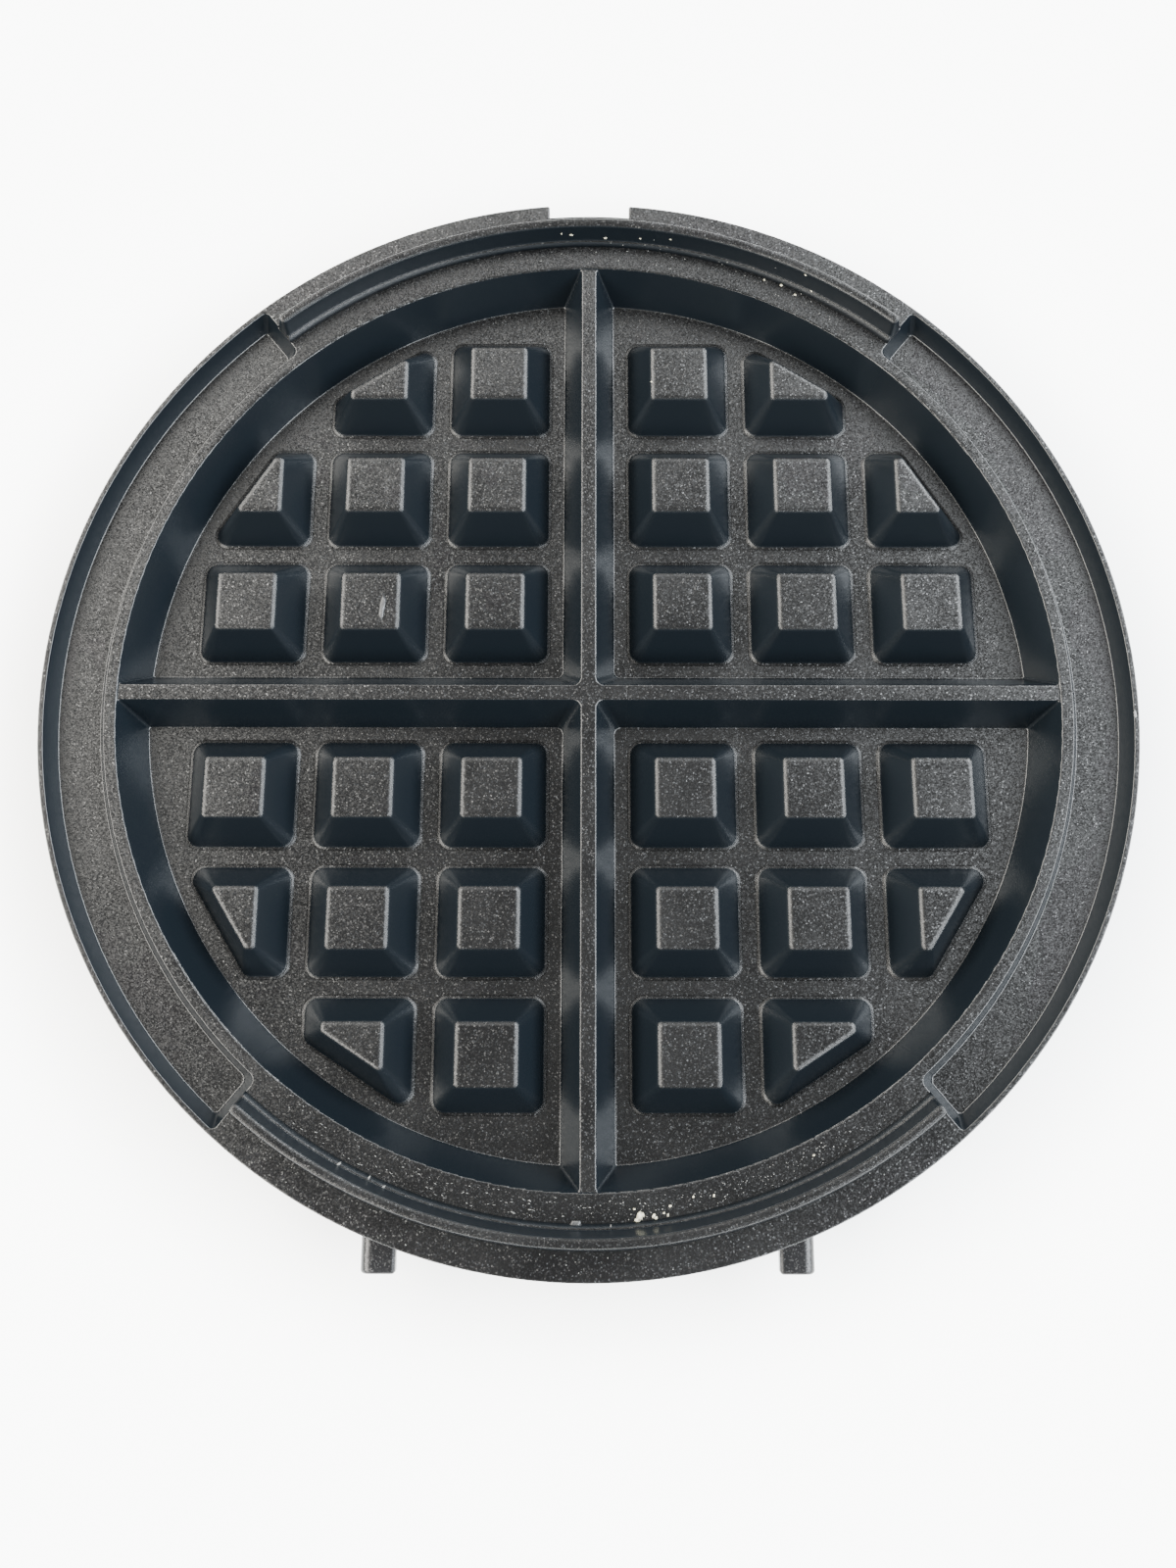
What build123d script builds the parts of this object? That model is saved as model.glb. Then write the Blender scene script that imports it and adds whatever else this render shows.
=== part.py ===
from build123d import *
import math
import os

# Cooking grid plate of a round Belgian waffle maker, modelled in millimetres.
#
# The plate is one die casting with a non-stick coating. It lies with its batter side up:
# +Z is up, +Y points to the latch notch and -Y to the two hinge lugs. The origin is the
# middle of the plate on the plane that its seat ring rests on.
# Each node is one named region of the casting. Neighbours meet face to face along planes
# and cylinders, so the regions add up to the whole casting with no overlap.

# Heights, from the plane that the seat ring rests on upward
seat_height = 4.0
floor_thickness = 3.2
pocket_depth = 9.65
divider_drop = 0.37
peg_drop = 0.37
channel_depth = 4.0
rim_rise = 0.5
bead_rise = 0.85
fence_height = 4.85
flange_thickness = 2.5

# The ring around the batter pocket: a radius, then widths from the inside out
floor_radius = 87.2
wall_run = 3.9
lip_width = 2.4
channel_inner_run = 1.4
channel_width = 8.3
channel_outer_run = 1.6
rim_width = 1.05
skirt_thickness = 2.65
wall_thickness = 3.0

# The land and the raised fence at the front and back: widths from the lip out
land_width = 5.0
bead_width = 0.7
bead_flat = 0.3
fence_inner_run = 1.0
fence_top_width = 1.7
fence_outer_run = 0.85
fence_crown = 0.2
fence_end_lean = 7.0

# Azimuth of the channel ends, measured from the side axis, and the slope of their walls
channel_half_angle = 50.2
channel_end_lean = 25.0

# The divider cross
divider_foot_half = 5.0
divider_side_run = 3.5
divider_groove_mouth = 6.0
divider_groove_roof = 1.8
divider_groove_depth = 5.5
divider_groove_end = 5.0

# Pegs: a square grid in each quadrant of the pocket, with lanes of batter around them
pegs_per_row = 3
peg_lane = 3.88
divider_lane = 3.19
wall_lane = 4.23
peg_side_run = 4.62
peg_foot_corner = 2.3
peg_crest_corner = 0.8
rim_peg_lane = 3.8
rim_peg_side_run = 3.7

# The latch notch at the back and the hinge lugs at the front
notch_width = 16.7
notch_depth = 2.9
notch_wall = 2.6
lug_spacing = 74.4
lug_width = 6.3
lug_length = 5.8
lug_top_drop = 4.25
lug_thickness = 2.45

# The seat ring underneath
seat_width = 4.0
seat_edge_inset = 0.5

# Roundings
peg_edge = 1.0
valley = 0.35
divider_edge = 0.45
lip_edge = 0.45
lip_clearance = 0.01
channel_edge = 0.35
rim_edge = 0.3
hub_corner = 1.65
pocket_corner = 0.6
channel_lip_corner = 1.6
channel_rim_corner = 1.0
fence_corner = 0.75
fence_edge = 0.3
notch_corner = 0.4
lug_corner = 0.7
lug_outer_edge = 1.9
lug_inner_edge = 0.5
under_edge = 0.8
skirt_edge = 0.4

# Where the casting is divided into nodes: distances outside what a node holds
foot_margin = 0.6
node_margin = 0.4
hub_margin = 2.0
sector_margin = 1.7

# A narrow face is rounded by at most this share of its width
rounding_share = 0.6

# Values that only pick edges: two places that match, and the least climb of an upright edge
match = 1e-3
least_climb = 0.5

# Angle by which a turned body runs past the planes that trim its ends
trim_angle = 5.0

# Levels that follow from the heights
floor_bottom = seat_height
floor_top = floor_bottom + floor_thickness
lip_top = floor_top + pocket_depth
divider_top = lip_top - divider_drop
peg_top = lip_top - peg_drop
divider_height = divider_top - floor_top
peg_height = peg_top - floor_top
rim_top = lip_top + rim_rise
channel_floor = lip_top - channel_depth
flange_bottom = lip_top - flange_thickness
skirt_bottom = channel_floor - flange_thickness
fence_top = rim_top + fence_height

# Radii that follow from the widths
lip_radius = floor_radius + wall_run
channel_inner_top = lip_radius + lip_width
channel_inner_floor = channel_inner_top + channel_inner_run
channel_outer_floor = channel_inner_floor + channel_width
channel_outer_top = channel_outer_floor + channel_outer_run
rim_radius = channel_outer_top + rim_width
skirt_inner = rim_radius - skirt_thickness
bead_foot_radius = lip_radius + land_width
bead_crest_radius = bead_foot_radius + bead_width
fence_inner_foot = bead_crest_radius + bead_flat
fence_inner_top = fence_inner_foot + fence_inner_run
fence_outer_top = fence_inner_top + fence_top_width
fence_outer_foot = fence_outer_top + fence_outer_run

# Pegs fill what the lanes leave. A row starts at row_start and holds pegs_per_row feet with lanes
# between them, so the last foot ends at row_lanes + pegs_per_row * side. Its far corner keeps
# wall_lane to the wall: (row_lanes + n side)^2 + (row_start + side)^2 = corner_reach^2.
row_start = divider_foot_half + divider_lane
row_lanes = row_start + (pegs_per_row - 1) * peg_lane
corner_reach = floor_radius - wall_lane
side_square = pegs_per_row**2 + 1
side_linear = pegs_per_row * row_lanes + row_start
side_rest = row_lanes**2 + row_start**2 - corner_reach**2
peg_foot_side = (math.sqrt(side_linear**2 - side_square * side_rest) - side_linear) / side_square
peg_foot_half = peg_foot_side / 2
peg_crest_half = peg_foot_half - peg_side_run
peg_pitch = peg_foot_side + peg_lane
first_peg = row_start + peg_foot_half
rim_peg_foot_reach = floor_radius - rim_peg_lane
rim_peg_crest_reach = rim_peg_foot_reach - rim_peg_side_run

# Cuts between nodes that follow from the sizes
divider_cut = divider_foot_half + node_margin
hub_cut = divider_cut + hub_margin
floor_cut = floor_radius - node_margin
lip_cut = (lip_radius + channel_inner_top) / 2
land_cut = bead_foot_radius - node_margin
sector_cut = channel_half_angle - sector_margin

# Slopes that follow from the sizes, in millimetres outward for each millimetre up
wall_slope = wall_run / pocket_depth
peg_slope = peg_side_run / peg_height
reach_slope = rim_peg_side_run / peg_height
divider_slope = divider_side_run / divider_height
divider_crest_half = divider_foot_half - divider_side_run

# A length that is larger than the plate, for the bodies that only cut
beyond = 2 * rim_radius


def wall_radius(level):
    """Radius of the pocket wall at a level."""
    return floor_radius + wall_slope * (level - floor_top)


def wall_back(level):
    """Radius of the outer side of the pocket wall at a level."""
    return wall_radius(level) + wall_thickness * math.hypot(1, wall_slope)


def rounded_face(corners):
    """Closed face through (x, y, radius) corners, each rounded by its own radius."""
    face = make_face(Polyline(*[(x, y) for x, y, radius in corners], close=True))
    for x, y, radius in corners:
        if radius > 0:
            face = fillet(face.vertices().sort_by_distance((x, y))[0], radius)
    return face


def frustum(low_corners, high_corners, low, high):
    """Solid with straight sides between two outlines of (x, y, radius) corners."""
    faces = [
        Plane.XY.offset(low) * rounded_face(low_corners),
        Plane.XY.offset(high) * rounded_face(high_corners),
    ]
    return loft(faces, ruled=True)


def square(half, radius):
    """Corners of a square about the origin."""
    return [(-half, -half, radius), (half, -half, radius), (half, half, radius), (-half, half, radius)]


def spin(corners, middle, span):
    """Turn a (radius, height, rounding) outline about the Z axis, centred on an azimuth."""
    solid = revolve(Plane.XZ * rounded_face(corners), axis=Axis.Z, revolution_arc=span)
    return Rot(0, 0, middle - span / 2) * solid


def tube(inner, outer, low, high):
    """Upright tube between two radii and two levels."""
    corners = [(inner, low, 0), (outer, low, 0), (outer, high, 0), (inner, high, 0)]
    return spin(corners, 0, 360)


def disc(radius, low, high):
    """Upright cylinder between two levels."""
    return Pos(0, 0, low) * extrude(Circle(radius), high - low)


def block(x_range, y_range, z_range):
    """Box between two limits on each axis."""
    width, length, height = (limits[1] - limits[0] for limits in (x_range, y_range, z_range))
    centre = [(limits[0] + limits[1]) / 2 for limits in (x_range, y_range, z_range)]
    return Pos(*centre) * Box(width, length, height)


def wedge(middle, span):
    """Sector of space about the Z axis, below 180 degrees wide."""
    half = math.radians(span / 2)
    width = beyond * math.tan(half)
    outline = Polyline((0, 0), (beyond, -width), (beyond, width), close=True)
    prism = extrude(make_face(outline), 2 * beyond)
    return Rot(0, 0, middle) * Pos(0, 0, -beyond) * prism


def edges_at(shape, pattern):
    """Edges of a shape that lie on the edges of a pattern shape."""
    found = []
    for edge in shape.edges():
        if any((edge.center() - other.center()).length < match for other in pattern):
            found.append(edge)
    return found


def upright(shape):
    """Edges that run from one level to another."""
    climbs = [(abs(edge.position_at(0).Z - edge.position_at(1).Z), edge) for edge in shape.edges()]
    return [edge for climb, edge in climbs if climb > least_climb]


def radius_of(point):
    """Distance of a point from the Z axis."""
    return math.hypot(point.X, point.Y)


# Pegs


def rim_corners(centre, half, reach, radius):
    """Corners of a peg outline whose outer side is cut square to the plate's radius."""
    x, y = centre
    length = math.hypot(x, y)
    left, right, near = x - half, x + half, y - half
    far = [(reach * length - x * side) / y for side in (left, right)]
    radius = min(radius, (far[1] - near) / 2)
    return [(left, near, radius), (right, near, radius), (right, far[1], radius), (left, far[0], radius)]


def foot_prism(foot_corners):
    """The piece of pocket floor that belongs to a peg."""
    return extrude(Plane.XY.offset(floor_bottom) * rounded_face(foot_corners), floor_thickness)


def peg(low_corners, high_corners, foot_corners, hollow):
    """Peg on its own piece of floor: drafted sides, rounded crest and foot, hollow below."""
    narrow = high_corners[2][1] - high_corners[1][1]
    sides = frustum(low_corners, high_corners, floor_top, peg_top)
    foot_ring = [edge for edge in sides.edges() if abs(edge.center().Z - floor_top) < match]
    body = sides + foot_prism(foot_corners)
    body = fillet(body.faces().sort_by(Axis.Z)[-1].edges(), min(peg_edge, rounding_share * narrow))
    body = fillet(edges_at(body, foot_ring), valley)
    return body - hollow


def peg_hollow():
    """The recess below a whole peg: its sides stay one wall thickness inside the peg's."""
    inset = wall_thickness * math.hypot(1, peg_slope)
    roof = peg_top - wall_thickness
    mouth_half = peg_foot_half + peg_slope * floor_thickness - inset
    roof_half = peg_crest_half + peg_slope * wall_thickness - inset
    mouth = square(mouth_half, peg_foot_corner)
    return frustum(mouth, square(roof_half, peg_crest_corner), floor_bottom, roof)


def whole_foot():
    """Outline of the foot of a whole peg."""
    return square(peg_foot_half + foot_margin, peg_foot_corner + foot_margin)


def rim_foot(centre):
    """Outline of the foot of a peg beside the pocket wall."""
    reach = rim_peg_foot_reach + foot_margin
    return rim_corners(centre, peg_foot_half + foot_margin, reach, peg_foot_corner + foot_margin)


def whole_peg():
    """A square peg about the Z axis."""
    low = square(peg_foot_half, peg_foot_corner)
    high = square(peg_crest_half, peg_crest_corner)
    return peg(low, high, whole_foot(), peg_hollow())


def rim_peg(centre):
    """A peg beside the pocket wall, in its place, with its outer side cut off."""
    low = rim_corners(centre, peg_foot_half, rim_peg_foot_reach, peg_foot_corner)
    high = rim_corners(centre, peg_crest_half, rim_peg_crest_reach, peg_crest_corner)
    inset = wall_thickness * math.hypot(1, reach_slope)
    mouth_reach = rim_peg_foot_reach + reach_slope * floor_thickness - inset
    roof_reach = rim_peg_crest_reach + reach_slope * wall_thickness - inset
    keep = frustum(
        [(0, -beyond, 0), (mouth_reach, -beyond, 0), (mouth_reach, beyond, 0), (0, beyond, 0)],
        [(0, -beyond, 0), (roof_reach, -beyond, 0), (roof_reach, beyond, 0), (0, beyond, 0)],
        floor_bottom,
        peg_top - wall_thickness,
    )
    azimuth = math.degrees(math.atan2(centre[1], centre[0]))
    hollow = Pos(*centre, 0) * peg_hollow() & Rot(0, 0, azimuth) * keep
    return peg(low, high, rim_foot(centre), hollow)


def peg_centre(column, row):
    """Centre of a peg in the right back quadrant."""
    return (first_peg + peg_pitch * column, first_peg + peg_pitch * row)


def swap_sides(shape):
    """Mirror image of a shape of the right back quadrant in its own diagonal."""
    return shape.mirror(Plane((0, 0, 0), z_dir=(1, -1, 0)))


def quadrant_set(whole, beside_wall):
    """Copies of a whole shape and of one beside the wall at the eight peg places of a quadrant."""
    places = [(column, row) for row in range(pegs_per_row) for column in range(pegs_per_row - row)]
    copies = [Pos(*peg_centre(column, row), 0) * whole for column, row in places]
    return copies + [beside_wall, swap_sides(beside_wall)]


# The casting without its pegs


def ring_blank():
    """The turned body of the plate, with its centre filled up to the lip."""
    corners = [
        (0, floor_bottom, 0),
        (wall_back(floor_bottom), floor_bottom, under_edge),
        (wall_back(flange_bottom), flange_bottom, under_edge),
        (skirt_inner, flange_bottom, under_edge),
        (skirt_inner, skirt_bottom, skirt_edge),
        (rim_radius, skirt_bottom, skirt_edge),
        (rim_radius, rim_top, rim_edge),
        (fence_outer_foot, rim_top, 0),
        (fence_outer_foot, lip_top, 0),
        (0, lip_top, 0),
    ]
    return spin(corners, 0, 360)


def mouth_space():
    """The space above the divider crests, which also rounds the lip of the pocket."""
    above = lip_top + pocket_depth
    crest = wall_radius(divider_top) - lip_clearance
    lip = lip_radius - lip_clearance
    outer = lip + 2 * lip_edge
    corners = [
        (0, divider_top, 0),
        (crest, divider_top, 0),
        (lip, lip_top, lip_edge),
        (outer, lip_top, 0),
        (outer, above, 0),
        (0, above, 0),
    ]
    return spin(corners, 0, 360)


def channel_base(middle):
    """The lower flange that carries an overflow channel."""
    span = 2 * (channel_half_angle + math.degrees(flange_thickness / channel_inner_floor))
    inner = wall_radius(skirt_bottom) + wall_thickness / 2
    outer = rim_radius - skirt_thickness / 2
    top = flange_bottom + flange_thickness / 2
    corners = [(inner, skirt_bottom, 0), (outer, skirt_bottom, 0), (outer, top, 0), (inner, top, 0)]
    return spin(corners, middle, span)


def past_end(side, half_angle, lean):
    """Half space past a radial end plane that leans away from the middle as it rises."""
    half_space = block((-beyond, beyond), (0, beyond), (-beyond, beyond))
    tilted = Rot(-lean, 0, 0) * half_space
    placed = Pos(0, 0, lip_top) * Rot(0, 0, half_angle) * tilted
    return placed if side > 0 else placed.mirror(Plane.XZ)


def channel_void(middle):
    """The space of an overflow channel: sloping walls and ends, all edges rounded."""
    above = lip_top + channel_depth
    inner_slope = (channel_inner_floor - channel_inner_top) / channel_depth
    outer_slope = (channel_outer_top - channel_outer_floor) / (rim_top - channel_floor)
    corners = [
        (channel_inner_floor, channel_floor, 0),
        (channel_outer_floor, channel_floor, 0),
        (channel_outer_floor + outer_slope * (above - channel_floor), above, 0),
        (channel_inner_floor - inner_slope * (above - channel_floor), above, 0),
    ]
    void = spin(corners, 0, 2 * (channel_half_angle + trim_angle))
    for side in (1, -1):
        void = void - past_end(side, channel_half_angle, channel_end_lean)
    middle_radius = (channel_inner_floor + channel_outer_floor) / 2
    lip_side = [edge for edge in upright(void) if radius_of(edge.center()) < middle_radius]
    void = fillet(lip_side, channel_lip_corner)
    rim_side = [edge for edge in upright(void) if radius_of(edge.center()) > middle_radius]
    void = fillet(rim_side, channel_rim_corner)
    void = fillet(void.faces().sort_by(Axis.Z)[0].edges(), channel_edge)
    return Rot(0, 0, middle) * void


def pocket_void():
    """The space of one pocket quadrant, at the right back, with rounded corners and foot."""
    above = lip_top + valley
    foot = divider_foot_half
    crest = foot - divider_slope * (above - floor_top)
    hopper = frustum(
        [(foot, foot, 0), (beyond, foot, 0), (beyond, beyond, 0), (foot, beyond, 0)],
        [(crest, crest, 0), (beyond, crest, 0), (beyond, beyond, 0), (crest, beyond, 0)],
        floor_top,
        above,
    )
    base = (Align.CENTER, Align.CENTER, Align.MIN)
    cone = Pos(0, 0, floor_top) * Cone(floor_radius, wall_radius(above), above - floor_top, align=base)
    void = hopper & cone
    corner_edges = sorted(upright(void), key=lambda edge: radius_of(edge.center()))
    void = fillet(corner_edges[0], hub_corner)
    outer_edges = [edge for edge in upright(void) if radius_of(edge.center()) > floor_radius / 2]
    void = fillet(outer_edges, pocket_corner)
    return fillet(void.faces().sort_by(Axis.Z)[0].edges(), valley)


def divider_groove(turn):
    """The groove below one arm pair of the divider cross."""
    length = floor_radius - divider_groove_end
    mouth, roof = divider_groove_mouth / 2, divider_groove_roof / 2
    groove = frustum(
        [(-length, -mouth, 0), (length, -mouth, 0), (length, mouth, 0), (-length, mouth, 0)],
        [(-length, -roof, 0), (length, -roof, 0), (length, roof, 0), (-length, roof, 0)],
        floor_bottom,
        floor_bottom + divider_groove_depth,
    )
    return Rot(0, 0, turn) * groove


def notch_space():
    """The latch notch, cut through the back of the flange."""
    inner = rim_radius - notch_depth
    ring = tube(inner, beyond, -beyond, beyond)
    slot = block((-notch_width / 2, notch_width / 2), (0, beyond), (-beyond, beyond))
    return ring & slot


def notch_backing():
    """The skirt where it passes behind the notch."""
    inner = rim_radius - notch_depth - notch_wall
    outer = skirt_inner + skirt_thickness / 2
    half = notch_width / 2 + notch_wall
    ring = tube(inner, outer, skirt_bottom, flange_bottom + flange_thickness / 2)
    return ring & block((-half, half), (0, beyond), (-beyond, beyond))


def edges_on_level(shape, level, inner, outer):
    """Edges that lie at one level, with their middles between two radii."""
    flat = []
    for edge in shape.edges():
        if all(abs(edge.position_at(end).Z - level) < match for end in (0, 1)):
            flat.append(edge)
    return [edge for edge in flat if inner < radius_of(edge.center()) < outer]


def casting():
    """The whole plate but its pegs, fences, lugs and seat ring."""
    body = ring_blank() + notch_backing()
    for middle in (0, 180):
        body = body + channel_base(middle)
    for middle in (0, 180):
        body = body - channel_void(middle)
    void = pocket_void()
    for turn in range(4):
        body = body - Rot(0, 0, 90 * turn) * void
    body = body - mouth_space()
    lip_level = edges_on_level(body, lip_top, channel_inner_top - valley, fence_outer_foot - valley)
    body = fillet(lip_level, channel_edge)
    rim_level = edges_on_level(body, rim_top, fence_outer_foot + valley, channel_outer_top + valley)
    body = fillet(rim_level, rim_edge)
    body = body - divider_groove(0) - divider_groove(90) - notch_space()
    outer = [edge for edge in upright(body) if radius_of(edge.center()) > rim_radius - rim_edge]
    mouth = [edge for edge in outer if abs(edge.center().X) < notch_width and edge.center().Y > 0]
    return fillet(mouth, notch_corner)


# Pieces that stand on the casting


def fence(middle):
    """One raised fence with its bead, standing on the land."""
    corners = [
        (bead_foot_radius, lip_top, 0),
        (bead_crest_radius, lip_top + bead_rise, 0),
        (fence_inner_foot, lip_top + bead_rise, 0),
        (fence_inner_top, fence_top - fence_crown, 0),
        (fence_outer_top, fence_top, 0),
        (fence_outer_foot, rim_top, 0),
        (fence_outer_foot, lip_top, 0),
    ]
    half_angle = 90 - channel_half_angle
    body = spin(corners, 0, 2 * (half_angle + trim_angle))
    for side in (1, -1):
        body = body - past_end(side, half_angle, -fence_end_lean)
    tall = [edge for edge in upright(body) if edge.center().Z > rim_top + fence_height / 4]
    body = fillet(tall, fence_corner)
    top = body.faces().sort_by(Axis.Z)[-1]
    body = fillet(top.edges(), fence_edge)
    return Rot(0, 0, middle) * body


def lug(side):
    """One hinge lug on the front of the rim, most rounded along its outboard edge."""
    centre = side * lug_spacing / 2
    top = rim_top - lug_top_drop
    x_range = (centre - lug_width / 2, centre + lug_width / 2)
    tip = math.sqrt(rim_radius**2 - centre**2) + lug_length
    body = block(x_range, (-tip, 0), (top - lug_thickness, top))
    long_edges = body.faces().sort_by(Axis.Z)[-1].edges().filter_by(Axis.Y)
    inboard, outboard = sorted(long_edges, key=lambda edge: abs(edge.center().X))
    body = fillet(outboard, lug_outer_edge)
    body = fillet(edges_at(body, [inboard]), lug_inner_edge)
    body = fillet(body.faces().sort_by(Axis.Y)[0].edges(), lug_corner)
    return body - disc(rim_radius, -beyond, beyond)


def seat_ring():
    """The ring underneath that the plate rests on."""
    outer = wall_back(floor_bottom) - seat_edge_inset
    inner = outer - seat_width
    corners = [
        (inner, 0, skirt_edge),
        (outer, 0, skirt_edge),
        (outer, floor_bottom, 0),
        (inner, floor_bottom, 0),
    ]
    return spin(corners, 0, 360)


# Nodes: the regions that the casting is divided into


def crest_lines(shape, limit):
    """Long edges of the divider crest, within a radius, that get a rounding."""
    middles = [(edge.center(), edge) for edge in edges_on_level(shape, divider_top, 0, limit)]
    clear = divider_crest_half / 2
    return [edge for middle, edge in middles if min(abs(middle.X), abs(middle.Y)) > clear]


def ring_sector(inner, outer, middle, span):
    """Sector of a tall tube, the space of one region of the ring."""
    return tube(inner, outer, -beyond, beyond) & wedge(middle, span)


os.makedirs("parts", exist_ok=True)
nodes = {}
plate = casting()
tall = (-beyond, beyond)
inside = disc(floor_cut, 0, fence_top)
hub_space = block((-hub_cut, hub_cut), (-hub_cut, hub_cut), tall)

# Pocket floor, with a hole for the foot of each peg, and the pegs
rim_place = peg_centre(1, pegs_per_row - 1)
corner_space = block((divider_cut, beyond), (divider_cut, beyond), tall)
floor = (plate & (corner_space & inside)) - hub_space
for foot in quadrant_set(foot_prism(whole_foot()), foot_prism(rim_foot(rim_place))):
    floor = floor - foot
pegs = quadrant_set(whole_peg(), rim_peg(rim_place))
for turn, name in enumerate(["back_right", "back_left", "front_left", "front_right"]):
    place = Rot(0, 0, 90 * turn)
    nodes["pocket_floor_" + name] = place * floor
    for number, piece in enumerate(pegs, 1):
        nodes[f"peg_{name}_{number}"] = place * piece

# Divider cross: a hub and four arms
hub = plate & hub_space
nodes["divider_hub"] = fillet(crest_lines(hub, hub_cut), divider_edge)
arm = plate & (block((hub_cut, beyond), (-divider_cut, divider_cut), tall) & inside)
arm = fillet(crest_lines(arm, floor_cut), divider_edge)
for turn, name in enumerate(["right", "back", "left", "front"]):
    nodes["divider_" + name] = Rot(0, 0, 90 * turn) * arm

# Ring: pocket walls, overflow channels, flanges and the fences that stand on them
for middle, name in ((0, "right"), (180, "left")):
    wall = plate & ring_sector(floor_cut, lip_cut, middle, 2 * sector_cut)
    nodes["pocket_wall_" + name] = fillet(crest_lines(wall, lip_radius - lip_edge), divider_edge)
    nodes["overflow_channel_" + name] = plate & ring_sector(lip_cut, beyond, middle, 2 * sector_cut)
for middle, name in ((90, "back"), (-90, "front")):
    wall = plate & ring_sector(floor_cut, land_cut, middle, 180 - 2 * sector_cut)
    nodes["pocket_wall_" + name] = fillet(crest_lines(wall, lip_radius - lip_edge), divider_edge)
    nodes["flange_" + name] = plate & ring_sector(land_cut, beyond, middle, 180 - 2 * sector_cut)
    nodes["fence_" + name] = fence(middle)

for side, name in ((1, "right"), (-1, "left")):
    nodes["hinge_lug_" + name] = lug(side)
nodes["seat_ring"] = seat_ring()

for name, shape in nodes.items():
    export_step(shape, f"parts/{name}.step")
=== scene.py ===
# %% [markdown]
# Grid plate of a round waffle maker: the look of a worn non-stick casting.
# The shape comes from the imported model, which is the fixed frame of this scene. Everything
# is in metres: +Z is up out of the batter side, +Y points to the latch notch and -Y to the
# hinge lugs. This notebook gives the casting smooth shading, its sprayed coating, the crumbs
# that baking left on it, and the table, light and camera of the picture.

# %% Load the frame
import math

import bpy
import numpy as np
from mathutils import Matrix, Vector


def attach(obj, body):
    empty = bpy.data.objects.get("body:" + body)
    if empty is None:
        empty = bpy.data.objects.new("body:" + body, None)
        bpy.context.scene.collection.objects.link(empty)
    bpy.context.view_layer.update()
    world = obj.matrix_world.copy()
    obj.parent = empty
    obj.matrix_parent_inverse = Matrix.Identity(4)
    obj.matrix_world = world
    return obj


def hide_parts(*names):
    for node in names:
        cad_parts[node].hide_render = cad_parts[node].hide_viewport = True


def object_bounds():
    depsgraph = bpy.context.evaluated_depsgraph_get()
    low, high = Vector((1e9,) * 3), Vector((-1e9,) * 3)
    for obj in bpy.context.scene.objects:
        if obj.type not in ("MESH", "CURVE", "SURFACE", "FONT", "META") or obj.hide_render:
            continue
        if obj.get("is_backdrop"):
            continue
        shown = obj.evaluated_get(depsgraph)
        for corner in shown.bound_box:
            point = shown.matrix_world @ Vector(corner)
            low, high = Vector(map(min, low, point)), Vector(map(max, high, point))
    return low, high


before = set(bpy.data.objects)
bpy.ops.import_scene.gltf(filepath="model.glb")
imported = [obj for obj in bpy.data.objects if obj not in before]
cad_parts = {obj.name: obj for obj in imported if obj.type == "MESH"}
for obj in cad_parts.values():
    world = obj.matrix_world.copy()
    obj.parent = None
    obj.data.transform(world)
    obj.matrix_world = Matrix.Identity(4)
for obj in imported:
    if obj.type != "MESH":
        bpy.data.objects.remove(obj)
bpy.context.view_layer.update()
print("nodes of the casting:", len(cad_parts))

# %% [markdown]
# Small sizes are written in millimetres times MM. The floor of the batter pocket is the level
# that the camera was measured from.

# %% Sizes
MM = 0.001
floor_level = 7.2 * MM
print("floor of the pocket, above the table in mm:", round(floor_level / MM, 2))

# %% [markdown]
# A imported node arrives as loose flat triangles. On a glossy black wall every facet would show
# as a stripe, so each node gets a skin: the same triangles with their doubles merged and a
# normal worked out for every corner. A corner's normal is the mean of the faces round its
# vertex, weighted by their area, leaving out faces that turn away by more than a sharp angle.
# On turned surfaces the part of the normal along the turning direction is then taken out,
# because the true surface has none. Flat faces stay flat and roundings flow into them. Smooth
# shading alone would be simpler, but it bends the light on the big faces next to small ones.

# %% Corner normals
sharp_angle = math.radians(33)
largest_slip = 0.05
nothing = 1e-18
print("edges stay sharp above, degrees:", round(math.degrees(sharp_angle)))


def corner_normals(points, triangles, turned):
    """Normals of all triangle corners, as one array.

    For corner c of face f at vertex v: the sum of area(g) * normal(g) over the faces g round v
    with normal(g) . normal(f) > cos(sharp angle), scaled to length 1. If turned, a component
    under the largest slip along the direction of turning, (-y, x, 0) / radius, is then removed.
    """
    a, b, c = (points[triangles[:, k]] for k in range(3))
    cross = np.cross(b - a, c - a)
    area = np.linalg.norm(cross, axis=1)
    normal = cross / np.maximum(area, nothing)[:, None]
    vertex = triangles.ravel()
    order = np.argsort(vertex, kind="stable")
    ordered = vertex[order]
    first = np.searchsorted(ordered, ordered, "left")
    count = np.searchsorted(ordered, ordered, "right") - first
    corner = np.repeat(np.arange(len(order)), count)
    step = np.arange(len(corner)) - np.repeat(np.cumsum(count) - count, count)
    own = order[corner] // 3
    other = order[first[corner] + step] // 3
    near = np.einsum("ij,ij->i", normal[own], normal[other]) > math.cos(sharp_angle)
    total = np.zeros((len(order), 3))
    weight = (area[other] * near)[:, None] * normal[other]
    for axis in range(3):
        total[:, axis] = np.bincount(corner, weights=weight[:, axis], minlength=len(order))
    total /= np.maximum(np.linalg.norm(total, axis=1), nothing)[:, None]
    result = np.empty_like(total)
    result[order] = total
    if turned:
        place = points[vertex][:, :2]
        radius = np.maximum(np.linalg.norm(place, axis=1), nothing)
        along = np.stack([-place[:, 1], place[:, 0]], axis=1) / radius[:, None]
        slip = np.einsum("ij,ij->i", result[:, :2], along)
        slip[np.abs(slip) > largest_slip] = 0
        result[:, :2] -= slip[:, None] * along
        result /= np.linalg.norm(result, axis=1)[:, None]
    return result


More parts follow.
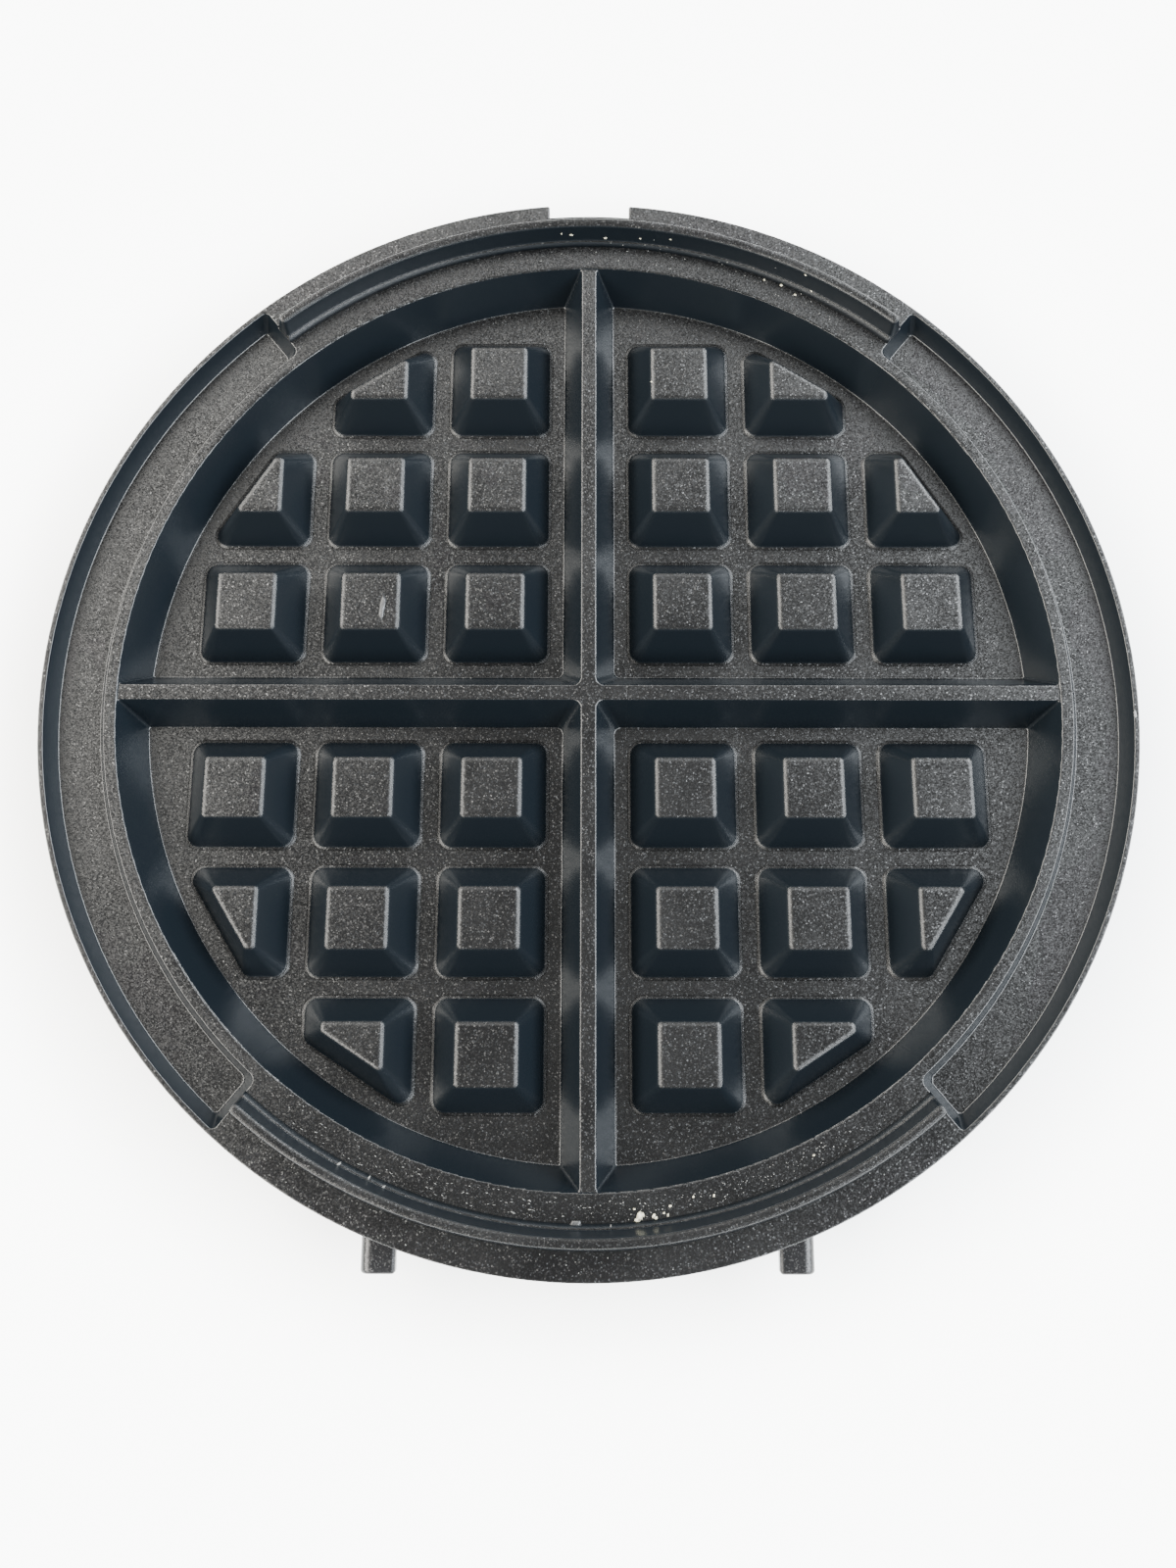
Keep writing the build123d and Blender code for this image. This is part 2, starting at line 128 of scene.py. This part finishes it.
# %% Skins of the nodes
merge_distance = 1e-7
turned_names = ("pocket_wall", "overflow_channel", "flange", "fence", "seat_ring")


def skin(node):
    """A smooth copy of one CAD node: same triangles, merged, with worked out normals."""
    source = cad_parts[node].data
    points = np.zeros(len(source.vertices) * 3)
    source.vertices.foreach_get("co", points)
    points = points.reshape(-1, 3)
    source.calc_loop_triangles()
    triangles = np.zeros(len(source.loop_triangles) * 3, np.int32)
    source.loop_triangles.foreach_get("vertices", triangles)
    keys = np.round(points / merge_distance).astype(np.int64)
    _, index, inverse = np.unique(keys, axis=0, return_index=True, return_inverse=True)
    merged = points[index]
    triangles = inverse.ravel()[triangles].reshape(-1, 3)
    different = (triangles[:, 0] != triangles[:, 1]) & (triangles[:, 1] != triangles[:, 2])
    different &= triangles[:, 0] != triangles[:, 2]
    triangles = triangles[different]
    mesh = bpy.data.meshes.new("coated_" + node)
    mesh.from_pydata(merged, [], triangles)
    mesh.shade_smooth()
    normals = corner_normals(merged, triangles, node.startswith(turned_names))
    mesh.normals_split_custom_set(normals)
    piece = bpy.data.objects.new("coated_" + node, mesh)
    bpy.context.scene.collection.objects.link(piece)
    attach(piece, "root")
    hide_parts(node)
    return piece


skins = {node: skin(node) for node in sorted(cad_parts)}
triangle_count = sum(len(piece.data.polygons) for piece in skins.values())
print("skins:", len(skins), "with", triangle_count, "triangles")

# %% [markdown]
# The coating is sprayed on from above. On the level faces it dries to a fine grain in which tiny
# flakes flash, and on the steep walls it runs smooth and dark. Two node groups hold this. One
# tells level faces from steep ones. The other cuts space into cells of the size of a flake and
# leans the surface normal in each cell its own way, a few of them far. It gives back the leaning
# normal, one chance for each cell, which picks the pale flakes, and a slow mottle for the
# roughness. Both work in the casting's own coordinates, so the grain stays on it at its real size.

# %% Helpers for node groups
FLOAT = "NodeSocketFloat"
VECTOR = "NodeSocketVector"


def new_group(name, inputs, outputs):
    """An empty shader node group with named sockets: {name: (socket type, value)}."""
    group = bpy.data.node_groups.new(name, "ShaderNodeTree")
    for label, (kind, value) in inputs.items():
        socket = group.interface.new_socket(label, in_out="INPUT", socket_type=kind)
        if value is not None:
            socket.default_value = value
    for label, kind in outputs.items():
        group.interface.new_socket(label, in_out="OUTPUT", socket_type=kind)
    return group, group.nodes.new("NodeGroupInput"), group.nodes.new("NodeGroupOutput")


def shader_node(tree, kind, **settings):
    """A node of a kind, with properties set by name and inputs set by socket name or number."""
    made = tree.nodes.new(kind)
    for key, value in settings.items():
        if key == "inputs":
            for socket, given in value.items():
                target = made.inputs[socket]
                if isinstance(given, bpy.types.NodeSocket):
                    tree.links.new(given, target)
                else:
                    target.default_value = given
        else:
            setattr(made, key, value)
    return made


def math_node(tree, operation, first, second=0.0):
    """The output of a Math node."""
    made = shader_node(tree, "ShaderNodeMath", operation=operation, inputs={0: first, 1: second})
    return made.outputs[0]


def ramp(tree, value, low, high, start=0.0, end=1.0):
    """A smooth step of a value from start to end as it goes from low to high."""
    made = shader_node(
        tree,
        "ShaderNodeMapRange",
        interpolation_type="SMOOTHSTEP",
        inputs={"Value": value, "From Min": low, "From Max": high, "To Min": start, "To Max": end},
    )
    return made.outputs["Result"]


# %% [markdown]
# How level a face is can be read from the height part of its normal: 1 on a floor, 0 on a wall.
# Between two limits it goes over softly, so that a rounded edge carries the coating of both.

# %% Level faces and steep faces
wall_limit, floor_limit = 0.55, 0.92
level_group, entry, leave = new_group(
    "level faces",
    {"Normal": (VECTOR, None), "Low": (FLOAT, wall_limit), "High": (FLOAT, floor_limit)},
    {"Level": FLOAT},
)
height = shader_node(level_group, "ShaderNodeSeparateXYZ", inputs={0: entry.outputs["Normal"]})
height = math_node(level_group, "ABSOLUTE", height.outputs["Z"])
level = ramp(level_group, height, entry.outputs["Low"], entry.outputs["High"])
level_group.links.new(level, leave.inputs["Level"])
print(level_group.name + ":", len(level_group.nodes), "nodes")

# %% [markdown]
# The grain could be real bumps, but at a quarter of a millimetre they would take millions of
# triangles. Here each cell of a Voronoi texture is one flake, and its colour is three random
# numbers: they say which way the flake leans, and the third also how rare it is. Rare flakes
# lean further, so they catch light that the others miss, and flash.

# %% Helper for vectors
def vector_node(tree, operation, first, second=(0.0, 0.0, 0.0), **named):
    """A Vector Math node."""
    return shader_node(
        tree, "ShaderNodeVectorMath", operation=operation, inputs={0: first, 1: second, **named}
    )


# %% Grain of the sprayed coating
flake_size = 0.22 * MM
rareness = 6.0
rare_limit, common_lean, rare_lean = 0.7, 0.36, 1.3
mottle_scale, mottle_detail, mottle_roughness = 55.0, 3.0, 0.55
grain_group, entry, leave = new_group(
    "sprayed grain",
    {
        "Place": (VECTOR, None),
        "Normal": (VECTOR, None),
        "Size": (FLOAT, flake_size),
        "Tilt": (FLOAT, 0.5),
    },
    {"Normal": VECTOR, "Chance": FLOAT, "Mottle": FLOAT},
)
scale = math_node(grain_group, "DIVIDE", 1.0, entry.outputs["Size"])
cells = shader_node(
    grain_group, "ShaderNodeTexVoronoi", inputs={"Vector": entry.outputs["Place"], "Scale": scale}
)
random = vector_node(grain_group, "SUBTRACT", cells.outputs["Color"], (0.5, 0.5, 0.5))
chance = shader_node(grain_group, "ShaderNodeSeparateColor", inputs={0: cells.outputs["Color"]})
chance = chance.outputs["Blue"]
rare = math_node(grain_group, "POWER", chance, rareness)
amount = ramp(grain_group, rare, 0.0, rare_limit, common_lean, rare_lean)
amount = math_node(grain_group, "MULTIPLY", entry.outputs["Tilt"], amount)
lean = vector_node(grain_group, "SCALE", random.outputs[0], Scale=amount)
lean = shader_node(
    grain_group,
    "ShaderNodeVectorTransform",
    vector_type="VECTOR",
    convert_from="OBJECT",
    convert_to="WORLD",
    inputs={0: lean.outputs[0]},
)
leaning = vector_node(grain_group, "ADD", entry.outputs["Normal"], lean.outputs[0])
leaning = vector_node(grain_group, "NORMALIZE", leaning.outputs[0])
mottle = shader_node(
    grain_group,
    "ShaderNodeTexNoise",
    inputs={
        "Vector": entry.outputs["Place"],
        "Scale": mottle_scale,
        "Detail": mottle_detail,
        "Roughness": mottle_roughness,
    },
)
grain_group.links.new(leaning.outputs[0], leave.inputs["Normal"])
grain_group.links.new(chance, leave.inputs["Chance"])
grain_group.links.new(mottle.outputs["Fac"], leave.inputs["Mottle"])
print(grain_group.name + ":", len(grain_group.nodes), "nodes")

# %% [markdown]
# The coating itself is one function, because the plate, its rounded parts and its lugs differ
# only in a few values. Thick spray rounds off the pegs and the fences, so they get a wide
# softening of their edges, which the shader's Bevel node gives without any new geometry. The rest
# of the plate gets a narrow one. The lugs have been rubbed: they are smoother and a little paler.

# %% Helpers that mix
def mixed(tree, factor, first, second):
    """A colour between two: the first where the factor is 0, the second where it is 1."""
    made = shader_node(
        tree, "ShaderNodeMix", data_type="RGBA", inputs={"Factor": factor, 6: first, 7: second}
    )
    return made.outputs[2]


def between(tree, factor, first, second):
    """A number between two: the first where the factor is 0, the second where it is 1."""
    made = shader_node(
        tree, "ShaderNodeMix", data_type="FLOAT", inputs={"Factor": factor, 2: first, 3: second}
    )
    return made.outputs[0]


# %% The coating
coating_ior = 1.36
bevel_samples = 4
wall_tilt = 0.03
fleck_from = 0.72
mottle_low, mottle_high = 0.3, 0.7
smooth_floor, rough_floor, wall_roughness = 0.20, 0.28, 0.30


def coating(name, steep_color, level_color, flake_color, wear, tilt, edge_softness):
    """Black sprayed coating: smooth on steep faces, grained and flecked on level ones."""
    material = bpy.data.materials.new(name)
    material.use_nodes = True
    tree = material.node_tree
    shader = tree.nodes["Principled BSDF"]
    shader.inputs["IOR"].default_value = coating_ior
    place = shader_node(tree, "ShaderNodeTexCoord")
    soft = shader_node(
        tree, "ShaderNodeBevel", samples=bevel_samples, inputs={"Radius": edge_softness}
    )
    level = shader_node(
        tree,
        "ShaderNodeGroup",
        node_tree=level_group,
        inputs={"Normal": place.outputs["Normal"]},
    ).outputs["Level"]
    grain = shader_node(
        tree,
        "ShaderNodeGroup",
        node_tree=grain_group,
        inputs={
            "Place": place.outputs["Object"],
            "Normal": soft.outputs["Normal"],
            "Tilt": ramp(tree, level, 0.0, 1.0, wall_tilt, tilt),
        },
    )
    tone = mixed(tree, level, (*steep_color, 1), (*level_color, 1))
    flecks = ramp(tree, grain.outputs["Chance"], fleck_from, 1.0)
    flecks = math_node(tree, "MULTIPLY", flecks, level)
    tone = mixed(tree, flecks, tone, (*flake_color, 1))
    tree.links.new(tone, shader.inputs["Base Color"])
    rough = ramp(
        tree,
        grain.outputs["Mottle"],
        mottle_low,
        mottle_high,
        smooth_floor + wear,
        rough_floor + wear,
    )
    rough = between(tree, level, wall_roughness + wear, rough)
    tree.links.new(rough, shader.inputs["Roughness"])
    tree.links.new(grain.outputs["Normal"], shader.inputs["Normal"])
    return material


# %% The three coatings
steep_black, level_black = (0.0015, 0.0025, 0.0036), (0.0007, 0.0007, 0.0008)
flake_grey = (0.0042, 0.0043, 0.0046)
rubbed_black, rubbed_grey = (0.003, 0.003, 0.0034), (0.016, 0.016, 0.016)
sprayed = {
    "steep_color": steep_black,
    "level_color": level_black,
    "flake_color": flake_grey,
    "wear": 0.0,
    "tilt": 0.42,
}
rubbed = {
    "steep_color": rubbed_black,
    "level_color": rubbed_black,
    "flake_color": rubbed_grey,
    "wear": -0.06,
    "tilt": 0.25,
}
plate_coating = coating("nonstick coating", **sprayed, edge_softness=0.1 * MM)
soft_coating = coating("nonstick coating, rounded edges", **sprayed, edge_softness=0.9 * MM)
lug_coating = coating("worn coating", **rubbed, edge_softness=0.8 * MM)
coatings = {"peg": soft_coating, "fence": soft_coating, "hinge": lug_coating}
for name, piece in skins.items():
    piece.data.materials.append(coatings.get(name.split("_")[0], plate_coating))
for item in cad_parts.values():
    item.data.materials.clear()
    item.data.materials.append(plate_coating)
print("coatings:", plate_coating.name + ";", soft_coating.name + ";", lug_coating.name)

# %% [markdown]
# Baking leaves its marks on the lands just outside the pocket: two pale chips of dried batter at
# the front, rows of fine crumbs beside them, and a few more at the foot of the back fence. Each
# crumb is a small lumpy pebble with a few dozen faces, sunk a little into the surface that it lies
# on. Its height comes from the casting itself, by a ray sent straight down.

# %% The casting as something to drop crumbs on
from mathutils import Vector
from mathutils.bvhtree import BVHTree

all_points, all_triangles, point_count = [], [], 0
for piece in skins.values():
    points = np.zeros(len(piece.data.vertices) * 3)
    piece.data.vertices.foreach_get("co", points)
    triangles = np.zeros(len(piece.data.loops), np.int32)
    piece.data.loops.foreach_get("vertex_index", triangles)
    all_points.append(points.reshape(-1, 3))
    all_triangles.append(triangles.reshape(-1, 3) + point_count)
    point_count += len(points) // 3
all_points, all_triangles = np.concatenate(all_points), np.concatenate(all_triangles)
ground = BVHTree.FromPolygons(all_points.tolist(), all_triangles.tolist())
drop_height = 50 * MM
down = Vector((0, 0, -1))


def heights(x, y):
    """Height of the casting under each (x, y), found by a ray sent straight down."""
    hits = [ground.ray_cast(Vector((a, b, drop_height)), down)[0] for a, b in zip(x, y)]
    return np.array([hit.z for hit in hits])


print("casting surface for crumbs:", point_count, "points")

# %% Points of the pebbles
ring_points, rings = 6, 3
least_lump, most_lump = 0.7, 1.25


def pebble_points(length, width, height, seed):
    """Points of lumpy pebbles, each round its own middle, one pebble for each length.

    Point (u, v) of a pebble: length/2 * sin(v) * cos(u) along it, width/2 * sin(v) * sin(u)
    across it and height/2 * cos(v) up, times a random lump, with u round it and v from pole to
    pole. The rings come first, from the top down, and then the upper and the lower pole.
    """
    count = len(length)
    u = np.linspace(0, 2 * math.pi, ring_points, endpoint=False)
    v = np.linspace(0, math.pi, rings + 2)[1:-1]
    draw = np.random.default_rng(seed)
    lump = draw.uniform(least_lump, most_lump, (count, rings, ring_points))
    along = length[:, None, None] / 2 * np.sin(v)[:, None] * np.cos(u) * lump
    aside = width[:, None, None] / 2 * np.sin(v)[:, None] * np.sin(u) * lump
    up = height[:, None, None] / 2 * np.cos(v)[:, None] * np.ones(ring_points) * lump
    poles = np.zeros((count, 2, 3))
    poles[:, 0, 2], poles[:, 1, 2] = height / 2, -height / 2
    on_rings = np.stack([along, aside, up], axis=3).reshape(count, -1, 3)
    return np.concatenate([on_rings, poles], axis=1)


# %% Triangles of the pebbles
def pebble_triangles(count):
    """Triangles of all pebbles: two for each square between two rings, and a fan at each pole.

    Points are numbered as pebble_points gives them.
    """
    i = np.arange(ring_points)
    after = (i + 1) % ring_points
    faces = []
    for ring in range(rings - 1):
        upper, lower = ring * ring_points, (ring + 1) * ring_points
        faces.append(np.stack([upper + i, lower + i, lower + after], axis=1))
        faces.append(np.stack([upper + i, lower + after, upper + after], axis=1))
    top, bottom = rings * ring_points, rings * ring_points + 1
    last = (rings - 1) * ring_points
    faces.append(np.stack([np.full(ring_points, top), i, after], axis=1))
    faces.append(np.stack([np.full(ring_points, bottom), last + after, last + i], axis=1))
    first_point = np.arange(count) * (bottom + 1)
    return (np.concatenate(faces)[None] + first_point[:, None, None]).reshape(-1, 3)


print("triangles of one pebble:", len(pebble_triangles(1)))

# %% Crumbs
middle_above_ground = 1 / 6


def crumbs(name, radius, angle, length, width, height, turn, material, seed):
    """Pebbles in one piece, one for each entry of radius (mm) and angle (degrees).

    A pebble at (radius, angle) is turned by angle + 90 + turn (degrees) round its own middle,
    and its middle is height/6 above the casting, so that a third of it is sunk. Length, width
    and height are in mm.
    """
    radius, angle = np.atleast_1d(radius) * MM, np.radians(np.atleast_1d(angle))
    count = len(radius)
    length, width, height = (
        np.broadcast_to(np.asarray(size) * MM, count) for size in (length, width, height)
    )
    local = pebble_points(length, width, height, seed)
    heading = angle + math.pi / 2 + np.radians(np.broadcast_to(turn, count))
    c, s = np.cos(heading)[:, None], np.sin(heading)[:, None]
    x, y = radius * np.cos(angle), radius * np.sin(angle)
    points = np.empty_like(local)
    points[:, :, 0] = x[:, None] + c * local[:, :, 0] - s * local[:, :, 1]
    points[:, :, 1] = y[:, None] + s * local[:, :, 0] + c * local[:, :, 1]
    middle = heights(x, y) + height * middle_above_ground
    points[:, :, 2] = middle[:, None] + local[:, :, 2]
    mesh = bpy.data.meshes.new(name)
    mesh.from_pydata(points.reshape(-1, 3), [], pebble_triangles(count))
    mesh.shade_smooth()
    mesh.materials.append(material)
    piece = bpy.data.objects.new(name, mesh)
    bpy.context.scene.collection.objects.link(piece)
    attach(piece, "root")
    print(name + ":", count, "crumbs,", len(mesh.polygons), "triangles")
    return piece


# %% [markdown]
# Dried batter, crumbs, grease and bare metal are all matt and uneven. One function makes them:
# noise at the scale of a crumb blends a dark and a pale tone, and the same noise is their bump.

# %% Dried batter and grease
crumb_noise_scale, crumb_noise_detail = 1800.0, 2.0
pale_from, pale_to = 0.35, 0.65
crumb_bump = 0.05 * MM


def residue(name, pale, dark, rough):
    """Matt residue whose colour wanders between two tones at crumb scale."""
    material = bpy.data.materials.new(name)
    material.use_nodes = True
    tree = material.node_tree
    shader = tree.nodes["Principled BSDF"]
    place = shader_node(tree, "ShaderNodeTexCoord").outputs["Object"]
    noise = shader_node(
        tree,
        "ShaderNodeTexNoise",
        inputs={"Vector": place, "Scale": crumb_noise_scale, "Detail": crumb_noise_detail},
    ).outputs["Fac"]
    tone = mixed(tree, ramp(tree, noise, pale_from, pale_to), (*dark, 1), (*pale, 1))
    tree.links.new(tone, shader.inputs["Base Color"])
    bump = shader_node(tree, "ShaderNodeBump", inputs={"Height": noise, "Distance": crumb_bump})
    tree.links.new(bump.outputs["Normal"], shader.inputs["Normal"])
    shader.inputs["Roughness"].default_value = rough
    return material


dried_batter = residue("dried batter", (0.30, 0.285, 0.215), (0.14, 0.132, 0.10), rough=0.7)
pale_crumb = residue("pale crumb", (0.075, 0.075, 0.07), (0.025, 0.025, 0.024), rough=0.6)
grease_film = residue("grease film", (0.008, 0.0085, 0.009), (0.004, 0.0042, 0.0045), rough=0.45)
bare_edge = residue("bare edge", (0.08, 0.08, 0.08), (0.03, 0.03, 0.03), rough=0.4)
print("residues:", [made.name for made in (dried_batter, pale_crumb, grease_film, bare_edge)])

# %% [markdown]
# The chips and the larger crumbs lie where the photograph shows them, each placed by its radius
# and its angle round the middle of the plate. The fine ones are too many for that, so random
# draws with a fixed start scatter them over the same zones.

# %% Chips of batter at the front
draw = np.random.default_rng(11)
crumbs(
    "batter_chip_large",
    radius=[95.3, 95.9, 95.1],
    angle=[-84.5, -84.8, -84.15],
    length=[1.7, 1.2, 1.1],
    width=[1.2, 0.8, 0.6],
    height=[0.5, 0.35, 0.4],
    turn=[75, 10, 120],
    material=dried_batter,
    seed=1,
)
crumbs(
    "batter_chip_small",
    radius=[95.45, 95.9],
    angle=[-83.0, -82.8],
    length=[1.1, 0.7],
    width=[0.7, 0.6],
    height=0.35,
    turn=[60, 0],
    material=dried_batter,
    seed=2,
)
crumbs(
    "batter_crumbs",
    radius=[94.05, 95.3, 95.7, 94.3, 93.5, 94.1, 93.7],
    angle=[-85.0, -81.9, -81.5, -81.1, -78.5, -76.3, -64.6],
    length=[0.5, 0.4, 0.6, 0.6, 0.55, 0.65, 0.5],
    width=0.45,
    height=0.3,
    turn=draw.uniform(0, 90, 7),
    material=dried_batter,
    seed=3,
)

# %% Fine crumbs at the front
fine_height = 0.12
first_row, row_step, row_wander = 92.0, 0.8, 0.12
in_rows = 84
crumbs(
    "crumb_rows_front_left",
    radius=first_row
    + row_step * draw.integers(0, 5, in_rows)
    + draw.normal(0, row_wander, in_rows),
    angle=draw.uniform(-126, -89, in_rows),
    length=draw.uniform(0.25, 0.7, in_rows),
    width=draw.uniform(0.11, 0.2, in_rows),
    height=fine_height,
    turn=draw.normal(0, 15, in_rows),
    material=pale_crumb,
    seed=4,
)
scattered = 110
crumbs(
    "crumb_rows_front_right",
    radius=92.3 + draw.beta(1.5, 2.0, scattered) * 3.6,
    angle=-51.5 - draw.beta(2.0, 2.0, scattered) * 42,
    length=draw.uniform(0.14, 0.42, scattered),
    width=draw.uniform(0.12, 0.24, scattered),
    height=fine_height,
    turn=draw.uniform(-40, 40, scattered),
    material=pale_crumb,
    seed=5,
)

# %% Flakes and a spot of grease on the bead
crumbs(
    "bead_flakes",
    radius=[96.95, 96.7, 97.0, 96.6],
    angle=[-117.1, -113.6, -111.8, -87.6],
    length=[1.4, 1.1, 1.2, 0.9],
    width=[0.5, 0.4, 0.45, 0.3],
    height=0.16,
    turn=[70, 80, 60, 88],
    material=pale_crumb,
    seed=6,
)
crumbs(
    "grease_spot_front",
    radius=96.3,
    angle=-91.2,
    length=2.6,
    width=1.5,
    height=fine_height,
    turn=0,
    material=grease_film,
    seed=7,
)

# %% Crumbs on the front ledge
on_ledge = 26
crumbs(
    "crumbs_front_ledge",
    radius=draw.uniform(100.6, 104.6, on_ledge),
    angle=draw.uniform(-122, -56, on_ledge),
    length=draw.uniform(0.15, 0.4, on_ledge),
    width=0.2,
    height=fine_height,
    turn=draw.uniform(0, 180, on_ledge),
    material=pale_crumb,
    seed=8,
)

# %% Crumbs at the back
crumbs(
    "crumbs_back_fence",
    radius=[97.5, 97.3, 97.4, 97.6, 97.6, 97.9, 97.1, 96.0, 95.2, 95.7],
    angle=[92.2, 88.0, 83.7, 80.0, 93.4, 62.9, 61.6, 65.3, 63.2, 67.5],
    length=[0.9, 0.7, 0.5, 0.5, 0.4, 0.6, 0.6, 0.8, 0.6, 0.5],
    width=[0.4, 0.6, 0.4, 0.4, 0.3, 0.4, 0.35, 0.6, 0.5, 0.4],
    height=0.3,
    turn=draw.uniform(-30, 30, 10),
    material=dried_batter,
    seed=9,
)
at_back = 40
crumbs(
    "crumb_rows_back",
    radius=draw.uniform(92.5, 97.6, at_back),
    angle=draw.uniform(56, 100, at_back),
    length=draw.uniform(0.15, 0.4, at_back),
    width=0.2,
    height=fine_height,
    turn=draw.uniform(0, 180, at_back),
    material=pale_crumb,
    seed=10,
)

# %% Marks on the pegs and the rim
crumbs(
    "crumb_between_pegs",
    radius=66.7,
    angle=78.9,
    length=0.5,
    width=0.4,
    height=0.2,
    turn=20,
    material=dried_batter,
    seed=12,
)
crumbs(
    "grease_smear_on_peg",
    radius=43.95,
    angle=157.3,
    length=5.6,
    width=1.3,
    height=0.1,
    turn=22,
    material=grease_film,
    seed=13,
)
crumbs(
    "chipped_rim_edge",
    radius=105.0,
    angle=-2.4,
    length=1.6,
    width=0.7,
    height=0.16,
    turn=0,
    material=bare_edge,
    seed=14,
)

# %% [markdown]
# The plate lies on a white table in bright, soft light. The light comes from a wide ring halfway
# up the sky, brightest at the left and right. Straight above, where the camera looks down from, it
# is dim, and so it is near the horizon. That is why level faces look dark grey, darkest at the
# front, and why rounded edges shine.

# %% Table
table_size = 40.0
table_white, table_roughness = (0.8, 0.8, 0.795, 1), 0.6
half = table_size / 2
corners = [(-half, -half, 0), (half, -half, 0), (half, half, 0), (-half, half, 0)]
table_mesh = bpy.data.meshes.new("table")
table_mesh.from_pydata(corners, [], [(0, 1, 2, 3)])
table = bpy.data.objects.new("table", table_mesh)
bpy.context.scene.collection.objects.link(table)
table_paint = bpy.data.materials.new("white table")
table_paint.use_nodes = True
table_shader = table_paint.node_tree.nodes["Principled BSDF"]
table_shader.inputs["Base Color"].default_value = table_white
table_shader.inputs["Roughness"].default_value = table_roughness
table_mesh.materials.append(table_paint)
table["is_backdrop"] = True
print("table, m across:", table_size)

# %% [markdown]
# A sky needs no lamps: its brightness is worked out from the direction that is looked in, where X
# is to the right, Y to the back and Z up. High up it grows from the dim middle outwards, faster to
# the sides than to the back. Lower down it is the ring, with its own brightness at the front, the
# back, the left and the right, and it fades out towards the horizon.

# %% Directions in the sky
world = bpy.data.worlds.new("daylight")
bpy.context.scene.world = world
world.use_nodes = True
sky = world.node_tree
background = sky.nodes["Background"]
direction = shader_node(sky, "ShaderNodeTexCoord").outputs["Generated"]
parts = shader_node(sky, "ShaderNodeSeparateXYZ", inputs={0: direction}).outputs
rightward, upward = parts["X"], parts["Z"]
leftward = math_node(sky, "MULTIPLY", rightward, -1.0)
print("world:", world.name)

# %% The dim middle of the sky
zenith_light, high_light = 0.95, 8.3
high_from, high_full = 0.48, 1.2
sideways_stretch, backward_stretch, backward_from = 3.15, 2.8, 0.2
front_stretch, front_full, front_end = 0.7, -0.15, 0.1
backward = math_node(sky, "SUBTRACT", parts["Y"], backward_from)
backward = math_node(sky, "MAXIMUM", backward, 0.0)
flat = shader_node(sky, "ShaderNodeCombineXYZ", inputs={"X": rightward, "Y": backward})
flat = vector_node(sky, "MULTIPLY", flat.outputs[0], (sideways_stretch, backward_stretch, 0.0))
from_zenith = vector_node(sky, "LENGTH", flat.outputs[0]).outputs["Value"]
narrower = ramp(sky, parts["Y"], front_full, front_end, front_stretch, 1.0)
from_zenith = math_node(sky, "MULTIPLY", from_zenith, narrower)
high = ramp(sky, from_zenith, high_from, high_full, zenith_light, high_light)
print("light straight above:", zenith_light, "and round it:", high_light)

# %% The bright ring
left_light, right_light, back_light, front_share = 50.0, 60.0, 8.5, 0.38
front_from, back_from = -0.4, 0.3
side_from, side_full = 0.15, 0.55
horizon_share, horizon_top, ring_from = 0.025, 0.35, 0.62
back = ramp(sky, parts["Y"], front_from, back_from, front_share * back_light, back_light)
left = ramp(sky, leftward, side_from, side_full, 0.0, left_light - back_light)
right = ramp(sky, rightward, side_from, side_full, 0.0, right_light - back_light)
around = math_node(sky, "ADD", math_node(sky, "ADD", left, right), back)
fading = ramp(sky, upward, horizon_top, ring_from, horizon_share, 1.0)
around = math_node(sky, "MULTIPLY", around, fading)
print("light of the ring, left, right, back:", left_light, right_light, back_light)

# %% Sky
ring_only, middle_only = 0.55, 0.88
warm, cool, tint_end = (1.0, 0.97, 0.90, 1), (0.90, 0.955, 1.0, 1), 0.8
lower = ramp(sky, upward, ring_only, middle_only, 1.0, 0.0)
sky.links.new(between(sky, lower, high, around), background.inputs["Strength"])
tint = mixed(sky, ramp(sky, rightward, -tint_end, tint_end), warm, cool)
sky.links.new(tint, background.inputs["Color"])
print("sky:", len(sky.nodes), "nodes")

# %% [markdown]
# The camera stands where the photograph was taken from: above the plate and a little in front
# of it, looking down and slightly back. Its place, tilt and focal length were solved from the
# plate's own circles and pegs, with the tilt in radians, and with the length and the centre of
# the view in pixels of the photograph. The view is shifted a little, as the photograph is cropped.

# %% Camera
image_height = 1600
focal_length_pixels = 1583.8
optical_axis_row = 632.0
film_side = 36.0
camera_place = (0.156 * MM, -70.40 * MM, 301.23 * MM + floor_level)
camera_tilt = (0.2834, 0.0005, 0.0016)
camera_data = bpy.data.cameras.new("camera")
camera_data.sensor_fit = "AUTO"
camera_data.sensor_width = film_side
camera_data.lens = focal_length_pixels / image_height * film_side
camera_data.shift_y = (optical_axis_row - image_height / 2) / image_height
camera_data.clip_start = 10 * MM
camera = bpy.data.objects.new("camera", camera_data)
camera.location = camera_place
camera.rotation_euler = camera_tilt
bpy.context.scene.collection.objects.link(camera)
bpy.context.scene.camera = camera
print("camera, mm:", [round(value / MM, 1) for value in camera.location])
print("focal length, mm:", round(camera_data.lens, 2))

# %% Sizes, for comparison
low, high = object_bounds()
print("visual box, mm:", [round((b - a) / MM, 2) for a, b in zip(low, high)])
